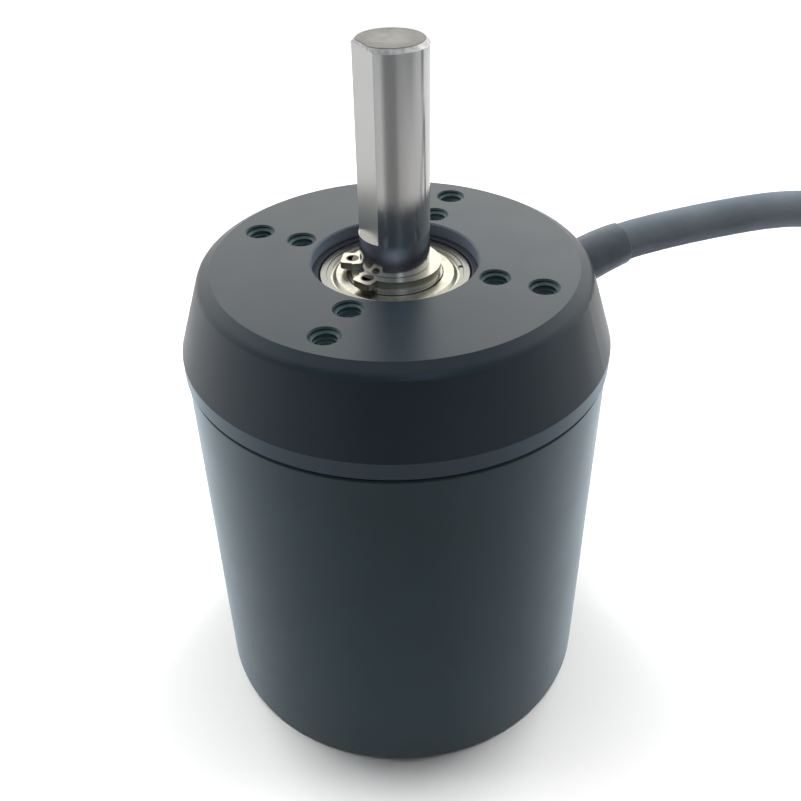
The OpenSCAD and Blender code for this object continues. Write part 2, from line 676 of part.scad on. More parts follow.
module rotor_can() color([0.13, 0.15, 0.17]) rotate_extrude() polygon([
    [cover_r, 0], [can_r - 0.5, 0], [can_r, 0.5], [can_r, can_top - 0.2], [can_r - 0.2, can_top],
    [can_bore_r + 0.3, can_top], [can_bore_r, can_top - 0.3], [can_bore_r, cover_t], [cover_r, cover_t]
]);

module magnets() color([0.62, 0.63, 0.65]) for (i = [0:poles - 1])
    rotate([0, 0, 360 * i / poles + magnet_gap / 2])
        rotate_extrude(angle = 360 / poles - magnet_gap)
            translate([magnet_in_r, core_z - magnet_over])
                square([magnet_t, core_len + 2 * magnet_over]);

grub_d = 4;
grub_z = cover_t + hub_h / 2 + 0.2;

module rear_cover() color([0.13, 0.15, 0.17]) difference() {
    rotate_extrude() polygon([
        [shaft_r + fit, 0], [hub_r - 0.5, 0], [hub_r, pocket_depth], [can_bore_r - 4.5, pocket_depth],
        [can_bore_r - 4, 0], [cover_r - fit - 0.4, 0], [cover_r - fit, 0.4],
        [cover_r - fit, cover_t - fit], [can_bore_r - 0.5, cover_t - fit],
        [can_bore_r - 0.5, cover_t], [hub_r + 1, cover_t], [hub_r, cover_t + 1],
        [hub_r, hub_top - 0.4], [hub_r - 0.4, hub_top], [shaft_r + fit, hub_top]
    ]);
    for (a = [0, 90]) rotate([0, 0, a]) translate([0, 0, grub_z]) rotate([0, 90, 0])
        cylinder(d = grub_d, h = hub_d);
}

module grub_screws() color([0.2, 0.2, 0.2]) for (a = [0, 90])
    rotate([0, 0, a]) translate([shaft_r + fit, 0, grub_z]) rotate([0, 90, 0]) difference() {
        cylinder(r = grub_d / 2 - fit, h = hub_r - shaft_r - 0.4);
        translate([0, 0, hub_r - shaft_r - 2]) cylinder(r = 1.15, h = 4, $fn = 6);
    }

module rear_spacer() color([0.7, 0.7, 0.7]) translate([0, 0, hub_top]) difference() {
    cylinder(r = inner_land_r, h = spacer_t);
    translate([0, 0, -1]) cylinder(r = shaft_r + fit, h = spacer_t + 2);
}

module front_outer_ring() outer_ring(front_brg_z);
module front_inner_ring() inner_ring(front_brg_z);
module front_shields() shields(front_brg_z);
module front_snap_rings() snap_rings(front_brg_z);
module front_balls() balls(front_brg_z);
module front_cage() cage(front_brg_z);
module rear_outer_ring() outer_ring(rear_brg_z);
module rear_inner_ring() inner_ring(rear_brg_z);
module rear_shields() shields(rear_brg_z);
module rear_snap_rings() snap_rings(rear_brg_z);
module rear_balls() balls(rear_brg_z);
module rear_cage() cage(rear_brg_z);

front_cap();
front_outer_ring();
front_shields();
front_snap_rings();
rear_outer_ring();
rear_shields();
rear_snap_rings();
wave_washer();
stator_core();
top_insulator();
bottom_insulator();
phase_u_coils();
phase_v_coils();
phase_w_coils();
phase_links();
star_joint();
hall_board();
hall_sensors();
board_screws();
inner_lead_u();
inner_lead_v();
inner_lead_w();
inner_sensor_lead();
strain_sleeve();
cable();
cable_coil();
cable_tail();
cable_tie();
end_boot();
phase_lead_u();
phase_lead_v();
phase_lead_w();
bullet_u();
bullet_v();
bullet_w();
bullet_sleeve_u();
bullet_sleeve_v();
bullet_sleeve_w();
sensor_lead();
sensor_plug();
shaft();
shaft_circlip();
shim_washer();
front_inner_ring();
rear_inner_ring();
rear_spacer();
rotor_can();
magnets();
rear_cover();
grub_screws();
front_balls();
front_cage();
rear_balls();
rear_cage();
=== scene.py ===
import math

import bmesh
import bpy
from mathutils import Matrix, Vector


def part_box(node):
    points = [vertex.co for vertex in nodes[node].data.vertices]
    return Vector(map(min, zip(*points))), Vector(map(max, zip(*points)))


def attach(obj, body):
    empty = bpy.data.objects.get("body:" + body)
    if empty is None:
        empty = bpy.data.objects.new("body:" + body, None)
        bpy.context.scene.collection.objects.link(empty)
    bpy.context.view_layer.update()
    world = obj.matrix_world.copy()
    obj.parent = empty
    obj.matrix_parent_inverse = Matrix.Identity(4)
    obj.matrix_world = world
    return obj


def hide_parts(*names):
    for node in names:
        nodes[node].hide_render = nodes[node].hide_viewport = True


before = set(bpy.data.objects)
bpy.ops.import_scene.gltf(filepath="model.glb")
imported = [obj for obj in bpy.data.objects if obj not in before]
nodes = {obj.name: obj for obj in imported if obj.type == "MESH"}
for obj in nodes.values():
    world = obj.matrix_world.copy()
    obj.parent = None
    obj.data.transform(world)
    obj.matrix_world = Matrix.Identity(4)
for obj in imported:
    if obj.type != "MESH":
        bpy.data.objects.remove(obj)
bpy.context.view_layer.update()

# Camera. The photograph was taken from close by, looking down on the motor, through a slightly
# long lens. The camera's place was fitted to the two hole circles and the shaft.
camera_bearing = math.radians(24.255)
turn = Matrix.Rotation(camera_bearing, 3, "Z")
tilt, pan, roll = math.radians(36.754), math.radians(0.159), math.radians(-1.207)
ahead = Vector((0, math.cos(tilt), -math.sin(tilt)))
side = Vector((1, 0, 0))
ahead, side = math.cos(pan) * ahead + math.sin(pan) * side, math.cos(pan) * side - math.sin(pan) * ahead
above = Vector((0, math.sin(tilt), math.cos(tilt)))
side, above = math.cos(roll) * side + math.sin(roll) * above, math.cos(roll) * above - math.sin(roll) * side
axes = Matrix([turn @ side, turn @ above, turn @ -ahead]).transposed().to_4x4()
face_z = 0.075
eye = turn @ Vector((0, -0.12093, 0.06496)) + Vector((0, 0, face_z))
camera = bpy.data.objects.new("camera", bpy.data.cameras.new("camera"))
bpy.context.collection.objects.link(camera)
camera.matrix_world = Matrix.Translation(eye) @ axes
camera.data.sensor_width = 36
camera.data.lens = 42.96
camera.data.clip_start = 0.005
bpy.context.scene.camera = camera

# Lead. One round lead in a soft dark jacket leaves the cap's flank, drops to the table and is
# wound there in a flat coil, the second turn beside the first. Its jacket is matt, with a
# faint pebbled skin from the extruder, and rubbed a little paler in places.
jacket_r = 0.003
route = [(16.3, 16.3, 65.2), (18.8, 18.8, 66.35), (21.25, 21.25, 67.5), (24, 24, 68.75),
         (26.8, 26.8, 69.65), (30.5, 30.5, 70.05), (34, 34, 70.18), (37.5, 37.5, 70.2),
         (41, 41, 70.1), (44.5, 44.5, 69.9), (48, 48, 69.5), (51.5, 51.5, 68.75), (55.2, 54.6, 67.7),
         (59.4, 56.9, 66.2), (64, 58.4, 64.1), (68.8, 59, 61.5), (73.6, 59, 58.5), (78.5, 58.8, 55.1),
         (83.3, 58.5, 51.1), (88.1, 58.1, 46.9), (92.9, 57.4, 42.6), (97.6, 56.6, 38.3),
         (102.4, 55.5, 34), (107, 54.2, 29.8), (111.6, 52.7, 25.8), (116, 50.8, 22), (120.3, 48.6, 18.7),
         (124.5, 46.1, 15.6), (128.4, 43.3, 12.8), (132.1, 40.3, 10.8), (135.6, 36.9, 9.6)]
coil_x, coil_y, coil_r = 122, 8, 31.9
coil_start, coil_wound, coil_step = 64.8, 504, 12
turn_pitch = 6.2
coil_top, coil_drop = 9.6, 6


def eased(value, low, high):
    """0 below low, 1 above high, smooth in between."""
    share = min(1, max(0, (value - low) / (high - low)))
    return share * share * (3 - 2 * share)


# The lead comes down over the first 58 degrees, while the turn draws in by 2 mm, and steps out
# by its own width after 288 degrees to lie beside the first turn.
for turned in range(coil_step, coil_wound, coil_step):
    angle = math.radians(coil_start - turned)
    reach = coil_r - 2 * eased(turned, 0, 45) + turn_pitch * eased(turned, 288, 345)
    height = coil_top - coil_drop * eased(turned, -14, 58)
    route.append((coil_x + reach * math.cos(angle), coil_y + reach * math.sin(angle), height))
route += [(128.3, -27.6, 3.6), (124.5, -28.2, 3.6), (120.8, -28.9, 3.6), (117, -29.5, 3.7),
          (113.3, -30.2, 3.8), (109.5, -30.9, 3.9), (105.8, -31.5, 4)]


def soft_line(name, points, radius):
    """One open line through the points, given in millimetres, with a round section."""
    data = bpy.data.curves.new(name, "CURVE")
    data.dimensions = "3D"
    data.bevel_depth = 1
    data.bevel_resolution = 6
    data.resolution_u = 6
    data.use_fill_caps = True
    spline = data.splines.new("BEZIER")
    spline.bezier_points.add(len(points) - 1)
    for knot, point in zip(spline.bezier_points, points):
        knot.co = Vector(point) / 1000
        knot.radius = radius
        knot.handle_left_type = knot.handle_right_type = "AUTO"
    line = bpy.data.objects.new(name, data)
    bpy.context.collection.objects.link(line)
    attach(line, "stator")
    return line


lead = soft_line("lead", route, jacket_r)
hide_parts("cable", "cable_coil", "cable_tail")


class Socket:
    """An output among a material's nodes. Sums on it add Math nodes to that material."""

    def __init__(self, output):
        self.output = output

    def node(self, kind, settings=None, values=None, output=0):
        """Adds one node to the same material: its settings first, then values or links for its sockets."""
        tree = self.output.id_data
        made = tree.nodes.new("ShaderNode" + kind)
        for name, value in (settings or {}).items():
            setattr(made, name, value)
        for name, value in (values or {}).items():
            if isinstance(value, Socket):
                tree.links.new(value.output, made.inputs[name])
            else:
                made.inputs[name].default_value = value
        return Socket(made.outputs[output])

    def maths(self, operation, *values):
        return self.node("Math", {"operation": operation}, dict(enumerate(values)))

    def __add__(self, other):
        return self.maths("ADD", self, other)

    def __sub__(self, other):
        return self.maths("SUBTRACT", self, other)

    def __rsub__(self, other):
        return self.maths("SUBTRACT", other, self)

    def __mul__(self, other):
        return self.maths("MULTIPLY", self, other)

    __radd__, __rmul__ = __add__, __mul__

    def wave(self, pitch):
        """A sine of this wavelength, from 0 to 1."""
        phase = self * (2 * math.pi / pitch)
        return phase.maths("SINE", phase) * 0.5 + 0.5

    def between(self, low, high):
        """0 below low, 1 above high, smooth in between."""
        return self.node("MapRange", {"interpolation_type": "SMOOTHSTEP"},
                         {"Value": self, "From Min": low, "From Max": high})

    def window(self, rise, fall):
        """Rises from 0 to 1 over the first span and falls back over the second."""
        return self.between(*rise) * (1 - self.between(*fall))

    def noise(self, size, detail=3, stretch=(1, 1, 1)):
        """Clouds of this size in metres on these coordinates, from 0 to 1."""
        scaled = self.node("Mapping", {}, {"Vector": self, "Scale": stretch})
        return scaled.node("TexNoise", {}, {"Vector": scaled, "Scale": 1 / size, "Detail": detail})

    def tint(self, first, second):
        """The first colour where this is 0, the second where it is 1."""
        first, second = ((*tone, 1) if isinstance(tone, tuple) else tone for tone in (first, second))
        mix = {"data_type": "RGBA", "clamp_factor": False}
        return self.node("Mix", mix, {0: self, 6: first, 7: second}, 2)


class Finish:
    """One material. The numbers set its shader's own sockets, and feed() links what varies."""

    def __init__(self, name, colour, numbers):
        self.material = bpy.data.materials.new(name)
        self.material.use_nodes = True
        tree = self.material.node_tree
        self.shader = tree.nodes["Principled BSDF"]
        self.shader.inputs["Base Color"].default_value = (*colour, 1)
        for socket, value in numbers.items():
            self.shader.inputs[socket].default_value = value
        self.place = Socket(tree.nodes.new("ShaderNodeTexCoord").outputs["Object"])
        self.x, self.y, self.z = (self.place.node("SeparateXYZ", {}, {0: self.place}, i) for i in range(3))

    def clouds(self, size, low, high, detail=3):
        """Patches of this size in metres: 0 where the noise is below low, 1 above high."""
        return self.place.noise(size, detail).between(low, high)

    def feed(self, socket, value):
        self.material.node_tree.links.new(value.output, self.shader.inputs[socket])

    def relief(self, height, depth):
        """Raises the surface by depth metres where height is 1."""
        self.feed("Normal", height.node("Bump", {}, {"Strength": 1.0, "Distance": depth, "Height": height}))

    def dress(self, *pieces):
        for piece in pieces:
            if piece.material_slots:
                for slot in piece.material_slots:
                    slot.material = self.material
            else:
                piece.data.materials.append(self.material)


jacket = Finish("jacket", (0.108, 0.13, 0.145), {"Roughness": 0.6, "Specular IOR Level": 0.02})
rubbed = jacket.clouds(0.011, 0.35, 0.7, 4)
jacket.feed("Base Color", rubbed.tint((0.124, 0.146, 0.167), (0.150, 0.174, 0.197)))
jacket.feed("Roughness", jacket.clouds(0.004, 0.3, 0.7) * 0.12 + 0.54)
jacket.relief(jacket.place.noise(0.0006, 4), 0.00006)
jacket.dress(lead)

# Strain sleeve. A short length of shrink tube grips the lead where it comes out of the bore in
# the flank. It is a little thicker than the jacket, uneven where it was shrunk over the wires,
# and its end is rolled down onto the jacket. Each point has its radius last.
sleeve_line = [(19.0, 19.0, 66.41, 3.55), (20.3, 20.3, 67.05, 3.58), (21.6, 21.6, 67.66, 3.6),
               (22.9, 22.9, 68.24, 3.58), (24.2, 24.2, 68.82, 3.5), (25.4, 25.4, 69.24, 3.43),
               (26.3, 26.3, 69.51, 3.36), (26.75, 26.75, 69.64, 3.26), (26.9, 26.9, 69.68, 3.04)]
sleeve = soft_line("sleeve", [point[:3] for point in sleeve_line], jacket_r)
for knot, point in zip(sleeve.data.splines[0].bezier_points, sleeve_line):
    knot.radius = point[3] / 1000
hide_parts("strain_sleeve")
shrunk = Finish("shrunk_tube", (0.045, 0.058, 0.067), {"Roughness": 0.5, "Specular IOR Level": 0.4})
stretched = shrunk.clouds(0.005, 0.35, 0.7, 4)
shrunk.feed("Base Color", stretched.tint((0.064, 0.080, 0.094), (0.086, 0.103, 0.120)))
shrunk.feed("Roughness", shrunk.clouds(0.003, 0.3, 0.7) * 0.16 + 0.42)
shrunk.relief(shrunk.place.noise(0.0025, 3), 0.00012)
shrunk.dress(sleeve, nodes["end_boot"], nodes["star_joint"])

# Ends of the lead. Past the boot the jacket ends: three silicone wires with gold bullets in
# coloured sleeves, and a thinner sensor lead with a six-way nylon plug. A nylon tie holds the
# coil. Their points are in millimetres from the boot, along the way that it lies.
boot = Vector((105.8, -31.5, 0))
boot_turn = Matrix.Rotation(math.radians(190), 3, "Z")
ends = {
    "phase_lead_u": [(12, -2.4, 3), (16, -2.8, 3), (20, -3.8, 2.9), (24, -5.1, 2.8), (28, -6.4, 2.7),
                     (32, -7.4, 2.6), (36, -8.1, 2.6), (40, -8.4, 2.6), (43.5, -8.4, 2.6)],
    "phase_lead_v": [(12, -0.6, 5.6), (16, -0.7, 5.4), (20, -1, 4.9), (24, -1.4, 4.2), (28, -1.9, 3.5),
                     (32, -2.3, 2.9), (36, -2.6, 2.6), (40, -2.8, 2.6), (43.5, -2.8, 2.6)],
    "phase_lead_w": [(12, 0.6, 2), (16, 0.8, 2), (20, 1.3, 2.1), (24, 1.8, 2.3), (28, 2.3, 2.5),
                     (32, 2.6, 2.6), (36, 2.8, 2.6), (40, 2.8, 2.6), (43.5, 2.8, 2.6)],
    "sensor_lead": [(12, 2.7, 4), (15, 3.2, 3.6), (18, 4.4, 2.9), (21, 6, 2.1), (24, 7.7, 1.5),
                    (27, 9.1, 1.3), (30, 10.1, 1.3), (33, 10.7, 1.6), (36, 11, 2), (39.5, 11, 2.3),
                    (43, 11, 2.4)],
}
phase_wire_r, sensor_wire_r = 0.0014, 0.0011
silicone = {"u": (0.42, 0.022, 0.018), "v": (0.62, 0.44, 0.025), "w": (0.02, 0.06, 0.30)}
wire_skin = {}
for way, colour in silicone.items():
    skin = Finish(f"silicone_{way}", colour, {"Roughness": 0.5})
    paler = tuple(1.25 * part + 0.01 for part in colour)
    skin.feed("Base Color", skin.clouds(0.003, 0.3, 0.75).tint(colour, paler))
    skin.relief(skin.place.noise(0.0005), 0.00002)
    skin.dress(nodes[f"bullet_sleeve_{way}"], nodes[f"inner_lead_{way}"])
    wire_skin[way] = skin
gold = Finish("gold_plate", (0.86, 0.60, 0.20), {"Metallic": 1, "Roughness": 0.24})
gold.feed("Roughness", gold.clouds(0.002, 0.3, 0.7) * 0.14 + 0.18)
gold.dress(nodes["bullet_u"], nodes["bullet_v"], nodes["bullet_w"])
nylon = Finish("nylon", (0.74, 0.73, 0.68), {"Roughness": 0.45})
nylon.feed("Base Color", nylon.clouds(0.004, 0.3, 0.7).tint((0.70, 0.69, 0.63), (0.78, 0.77, 0.72)))
nylon.relief(nylon.place.noise(0.0008), 0.00003)
nylon.dress(nodes["cable_tie"], nodes["sensor_plug"])
jacket.dress(nodes["inner_sensor_lead"])
for name, points in ends.items():
    points = [tuple(boot + boot_turn @ Vector(point)) for point in points]
    way = name[-1]
    thick, skin = sensor_wire_r, jacket
    if way in silicone:
        thick, skin = phase_wire_r, wire_skin[way]
    wire = soft_line(f"{name}_wire", points, thick)
    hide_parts(name)
    skin.dress(wire)
    2 * thick

# Front cap. Turned from aluminium bar, with a leaning flank over a short straight band, then
# bead blasted and anodised black. The skin is satin, with a very fine grain, and the band is a
# lighter colour. The recess for the bearing and the tapped holes carry painted light on their walls.
anodised = Finish("black_anodised", (0.002, 0.010, 0.015),
                  {"Roughness": 0.34, "Specular Tint": (0.89, 1.01, 1.16, 1)})
grain = anodised.place.noise(0.00016, 2)
hole_reaches = (22, 15)
hole_r = 0.002
recess_r = 0.01195
recess_floor = 0.065
band_low, band_high = 0.0604, 0.0633
hole_foot, hole_mouth = 0.0724, 0.0747


def flattened(place):
    """These coordinates with their height left out."""
    return place.node("Mapping", {}, {"Vector": place, "Scale": (1, 1, 0)})


def from_axis(finish):
    """How far a point is from the shaft's axis, in metres."""
    flat = flattened(finish.place)
    return flat.node("VectorMath", {"operation": "LENGTH"}, {0: flat}, 1)


def nearest(flat, spots):
    """How far a flattened point is from the nearest of the spots, in metres."""
    distances = [flat.node("VectorMath", {"operation": "DISTANCE"}, {0: flat, 1: spot}, 1) for spot in spots]
    least = distances[0]
    for distance in distances[1:]:
        least = least.maths("MINIMUM", least, distance)
    return least


# The holes are alike in all four quarters of the face, so their places are given in one.
quarter = flattened(anodised.place.node("VectorMath", {"operation": "ABSOLUTE"}, {0: anodised.place}))
hole_spots = [spot for reach in hole_reaches for spot in ((reach / 1000, 0, 0), (0, reach / 1000, 0))]
in_hole = 1 - nearest(quarter, hole_spots).between(hole_r - 0.00002, hole_r + 0.00016)
in_recess = (1 - from_axis(anodised).between(recess_r - 0.00003, recess_r + 0.00011)) \
    * anodised.z.between(recess_floor, recess_floor + 0.0005)
on_band = anodised.z.between(band_low - 0.0001, band_low + 0.0001) \
    * (1 - anodised.z.between(band_high - 0.00005, band_high + 0.00005)) \
    * from_axis(anodised).between(0.028, 0.029)
skin_tone = anodised.clouds(0.02, 0.35, 0.7, 4).tint((0.0035, 0.0085, 0.0130), (0.0050, 0.011, 0.0160))
skin_tone = on_band.tint(skin_tone, (0.019, 0.030, 0.040))
# Painted light: the recess wall is coloured far lighter from the bearing's face up to the rim, lifting the
# shade in the recess.
recess_painted_light = anodised.z.between(0.07285, 0.0734).tint((0.014, 0.017, 0.022), (0.150, 0.176, 0.225))
# Painted light: the walls of the holes are coloured lighter the deeper they go, lifting the shade inside
# them.
hole_painted_light = anodised.z.between(hole_foot, hole_mouth).tint((0.32, 0.44, 0.47), (0.026, 0.044, 0.048))
anodised.feed("Base Color", in_hole.tint(in_recess.tint(skin_tone, recess_painted_light), hole_painted_light))
satin = anodised.clouds(0.006, 0.3, 0.7, 4) * 0.03 + 0.29 + grain * 0.04
recess_rim = in_recess * anodised.z.window((0.0727, 0.0729), (face_z - 0.0001, face_z))
anodised.feed("Roughness", satin + in_hole * 0.3 + recess_rim * 0.25)
anodised.relief(grain, 0.000004)
anodised.dress(nodes["front_cap"])

# Threads in the eight tapped holes. Each is one helical ridge cut by an M4 tap, 0.7 mm to
# a turn, that stands in from the drilled wall and shows as thin crescents.
cut = Finish("cut_thread", (0.03, 0.07, 0.075), {"Roughness": 0.6, "Specular IOR Level": 0.3})
# Painted light: like the hole walls, the threads are coloured lighter the deeper they go, lifting the shade
# inside the holes.
up_the_hole = cut.z.between(hole_foot, hole_mouth) + cut.place.noise(0.0008, 3) * 0.3 - 0.15
cut.feed("Base Color", up_the_hole.tint((0.29, 0.40, 0.44), (0.040, 0.064, 0.071)))
ridge_section = [(0.00201, -0.00033), (0.00164, -0.00005), (0.00164, 0.00005), (0.00201, 0.00033)]
tap_pitch, tap_turns, tap_start = 0.0007, 6, 0.07445
for hole_angle in range(0, 360, 90):
    for hole_reach in hole_reaches:
        bpy.ops.object.select_all(action="DESELECT")
        bpy.ops.mesh.primitive_circle_add(vertices=4, radius=0.0003, fill_type="NGON")
        ridge = bpy.context.object
        for corner, (across, up) in zip(ridge.data.vertices, ridge_section):
            corner.co = (across, 0, up)
        tap = ridge.modifiers.new("tap", "SCREW")
        tap.steps = tap.render_steps = 40
        tap.screw_offset = -tap_pitch
        tap.iterations = tap_turns
        bpy.ops.object.modifier_apply(modifier=tap.name)
        angle = math.radians(hole_angle)
        ridge.data.transform(Matrix.Translation((hole_reach / 1000 * math.cos(angle),
                                                 hole_reach / 1000 * math.sin(angle), tap_start)))
        shape = bmesh.new()
        shape.from_mesh(ridge.data)
        bmesh.ops.remove_doubles(shape, verts=shape.verts, dist=1e-6)
        bmesh.ops.recalc_face_normals(shape, faces=shape.faces)
        shape.to_mesh(ridge.data)
        shape.free()
        ridge.name = f"thread_{hole_angle}_{hole_reach}"
        cut.dress(ridge)
        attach(ridge, "stator")

# Bearings. Ground steel rings, pressed nickel-plated shields held by split wire rings,
# polished balls in a moulded cage. The rear one sits against a spacer, pushed by a wave
# washer.
ring_steel = Finish("ring_steel", (0.80, 0.79, 0.74), {"Metallic": 1, "Roughness": 0.24})
outer_ring = from_axis(ring_steel).between(0.0082, 0.0092)
ring_steel.feed("Base Color", outer_ring.tint((0.48, 0.48, 0.445), (0.27, 0.275, 0.26)))
ring_steel.feed("Roughness",
                from_axis(ring_steel).wave(0.00013) * 0.06 + ring_steel.place.noise(0.002) * 0.1 + 0.17)
ring_steel.relief(from_axis(ring_steel).wave(0.00017), 0.0000006)
ring_steel.dress(*(nodes[name] for name in (
    "front_outer_ring", "front_snap_rings", "front_inner_ring", "rear_outer_ring", "rear_inner_ring",
    "rear_spacer", "shim_washer", "wave_washer")))
plated = Finish("nickel_plate", (0.60, 0.58, 0.50), {"Metallic": 1, "Roughness": 0.3})
worn = plated.clouds(0.0022, 0.35, 0.75, 4)
plated.feed("Base Color", worn.tint((0.51, 0.51, 0.44), (0.62, 0.62, 0.57)))
plated.feed("Roughness", plated.clouds(0.0009, 0.3, 0.8, 4) * 0.1 + 0.26)
plated.relief(plated.place.noise(0.0016, 3), 0.000012)
plated.dress(*(nodes[name] for name in ("front_shields", "rear_shields", "rear_snap_rings")))
ball_steel = Finish("ball_steel", (0.88, 0.88, 0.88), {"Metallic": 1, "Roughness": 0.06})
ball_steel.feed("Roughness", ball_steel.clouds(0.0012, 0.4, 0.8) * 0.05 + 0.05)
ball_steel.dress(nodes["front_balls"], nodes["rear_balls"])
cage_resin = Finish("cage_resin", (0.50, 0.36, 0.16), {"Roughness": 0.5})
fibres = cage_resin.place.noise(0.001, 5)
cage_resin.feed("Base Color", fibres.tint((0.42, 0.29, 0.12), (0.58, 0.43, 0.21)))
cage_resin.dress(nodes["front_cage"], nodes["rear_cage"])

# Retaining ring. Stamped from spring steel and snapped into the shaft's groove, with an eye in
# each of its two lugs for the pliers. The rolled top is smoother than the sheared edge; it is also
# coloured lighter, and the sides darker, as painted light and shade.
spring = Finish("spring_steel", (0.56, 0.55, 0.50), {"Metallic": 1, "Roughness": 0.25})
ring_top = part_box("shaft_circlip")[1][2]
lug_angles, lug_reach = (194.3, 255.3), 0.00615
lug_ways = [math.radians(lug_angle) for lug_angle in lug_angles]
lug_spots = [(lug_reach * math.cos(way), lug_reach * math.sin(way), 0) for way in lug_ways]
# Painted shade: a dark ring is coloured round each eye, so that the eye looks larger and deeper.
off_eye_shade = nearest(flattened(spring.place), lug_spots).between(0.00088, 0.00100)
rolled_and_lit_top = spring.z.between(ring_top - 0.00006, ring_top - 0.00002)
# Painted light and shade: the top face is coloured lighter than the sides, as if lit from above.
lit_top_shaded_sides = rolled_and_lit_top.tint((0.33, 0.32, 0.27), (0.52, 0.51, 0.46))
spring.feed("Base Color", off_eye_shade.tint((0.08, 0.075, 0.065), lit_top_shaded_sides))
spring.feed("Roughness", spring.clouds(0.0009, 0.3, 0.8, 4) * 0.1 + 0.34 - rolled_and_lit_top * 0.14)
spring.dress(nodes["shaft_circlip"])

# Shaft. Ground and polished steel, with one flat milled along it to the tip. The grinding
# left very fine rings, the cutter a satin face. The turned end and its bevel are patchy.
ground = Finish("ground_steel", (0.62, 0.62, 0.62), {"Metallic": 0.94, "Roughness": 0.16})
flat_way = math.radians(231)
flat_reach, flat_start = 0.004, 0.0792
tip, tip_bevel = 0.1054, 0.0006
toward_flat = ground.x * math.cos(flat_way) + ground.y * math.sin(flat_way)
on_flat = toward_flat.between(flat_reach - 0.00006, flat_reach - 0.00001) \
    * (1 - toward_flat.between(flat_reach + 0.00002, flat_reach + 0.00007)) \
    * ground.z.between(flat_start - 0.0001, flat_start + 0.0001)
on_end = ground.z.between(tip - 0.00011, tip - 0.00003)
on_bevel = ground.z.between(tip - tip_bevel, tip - tip_bevel + 0.0001) * (1 - on_end)
end_patches = ground.clouds(0.0022, 0.35, 0.7, 5) * 0.5 + 0.5 \
    - from_axis(ground).between(0.001, 0.004) * 0.6
end_tone = end_patches.tint((0.105, 0.106, 0.104), (0.193, 0.196, 0.190))
bevel_tone = ground.clouds(0.0009, 0.35, 0.65, 4).tint((0.47, 0.47, 0.47), (0.70, 0.70, 0.70))
side_tone = on_flat.tint((0.58, 0.58, 0.58), (0.545, 0.55, 0.54))
ground.feed("Base Color", on_end.tint(on_bevel.tint(side_tone, bevel_tone), end_tone))
ground_marks = ground.place.noise(0.0004, 3, (0.2, 0.2, 6)) * 0.06
ground.feed("Roughness", ground_marks + on_flat * 0.22 + on_end * 0.26 + on_bevel * 0.30 + 0.10)
turned_end = from_axis(ground).wave(0.0005) * on_end * 0.5 \
    + ground.place.noise(0.0007, 3) * (on_end + on_bevel) * 30
long_marks = ground.place.noise(0.0003, 2, (0.1, 0.1, 5))
ground.relief(ground.z.wave(0.00011) * (1 - on_end) + long_marks + turned_end, 0.0000008)
ground.dress(nodes["shaft"])

# Can. Drawn steel tube that carries the magnets, coated in satin black. The rear cover is
# turned aluminium, anodised, with the rings of the turning tool on it, and is held to the
# shaft by two black grub screws.
coated = Finish("coated_can", (0.002, 0.024, 0.028), {"Roughness": 0.3})
coat_tone = coated.clouds(0.03, 0.3, 0.7, 4).tint((0.0055, 0.021, 0.029), (0.0075, 0.026, 0.035))
coated.feed("Base Color", coat_tone)
can_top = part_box("rotor_can")[1][2]
can_edge = coated.z.between(can_top - 0.0005, can_top - 0.0002)
coated.feed("Roughness", coated.clouds(0.008, 0.3, 0.7, 4) * 0.03 + 0.28 + can_edge * 0.4)
coated.relief(coated.place.noise(0.0002, 2), 0.000004)
coated.dress(nodes["rotor_can"])
turned_black = Finish("turned_black", (0.02, 0.024, 0.028), {"Roughness": 0.38})
turned_black.feed("Roughness", from_axis(turned_black).wave(0.0004) * 0.08 + 0.33)
turned_black.relief(from_axis(turned_black).wave(0.0002), 0.000003)
turned_black.dress(nodes["rear_cover"])
oxide = Finish("black_oxide", (0.03, 0.03, 0.033), {"Metallic": 0.6, "Roughness": 0.4})
oxide.feed("Roughness", oxide.place.noise(0.0006, 4) * 0.25 + 0.28)
oxide.dress(nodes["grub_screws"])

# Stack and windings. Thin steel sheets riveted into a stack, moulded end insulators, and
# enamelled copper wound in layers round each tooth.
sheets = Finish("laminations", (0.34, 0.35, 0.36), {"Metallic": 0.9, "Roughness": 0.42})
sheet_edges = sheets.z.wave(0.0005)
sheets.feed("Base Color", sheet_edges.between(0.1, 0.4).tint((0.14, 0.14, 0.15), (0.40, 0.41, 0.42)))
sheets.relief(sheet_edges, 0.00003)
sheets.dress(nodes["stator_core"])
moulded = Finish("moulded_cream", (0.80, 0.76, 0.64), {"Roughness": 0.5})
moulded.feed("Base Color", moulded.place.noise(0.006, 4).tint((0.74, 0.70, 0.58), (0.84, 0.81, 0.70)))
moulded.dress(nodes["top_insulator"], nodes["bottom_insulator"])
enamel = Finish("enamelled_copper", (0.62, 0.24, 0.08),
                {"Metallic": 0.85, "Roughness": 0.28, "Coat Weight": 0.4})
strand = from_axis(enamel).wave(0.0009)
# Painted shade: the grooves between turns of wire are coloured dark.
enamel.feed("Base Color", strand.between(0, 0.5).tint((0.26, 0.08, 0.03), (0.70, 0.29, 0.10)))
enamel.relief(strand.maths("SQRT", strand), 0.00022)
enamel.dress(nodes["phase_u_coils"], nodes["phase_v_coils"], nodes["phase_w_coils"])
woven = Finish("red_sleeving", (0.42, 0.06, 0.04), {"Roughness": 0.7})
woven.feed("Base Color", woven.place.noise(0.0005, 2).tint((0.30, 0.035, 0.025), (0.52, 0.09, 0.06)))
woven.dress(nodes["phase_links"])

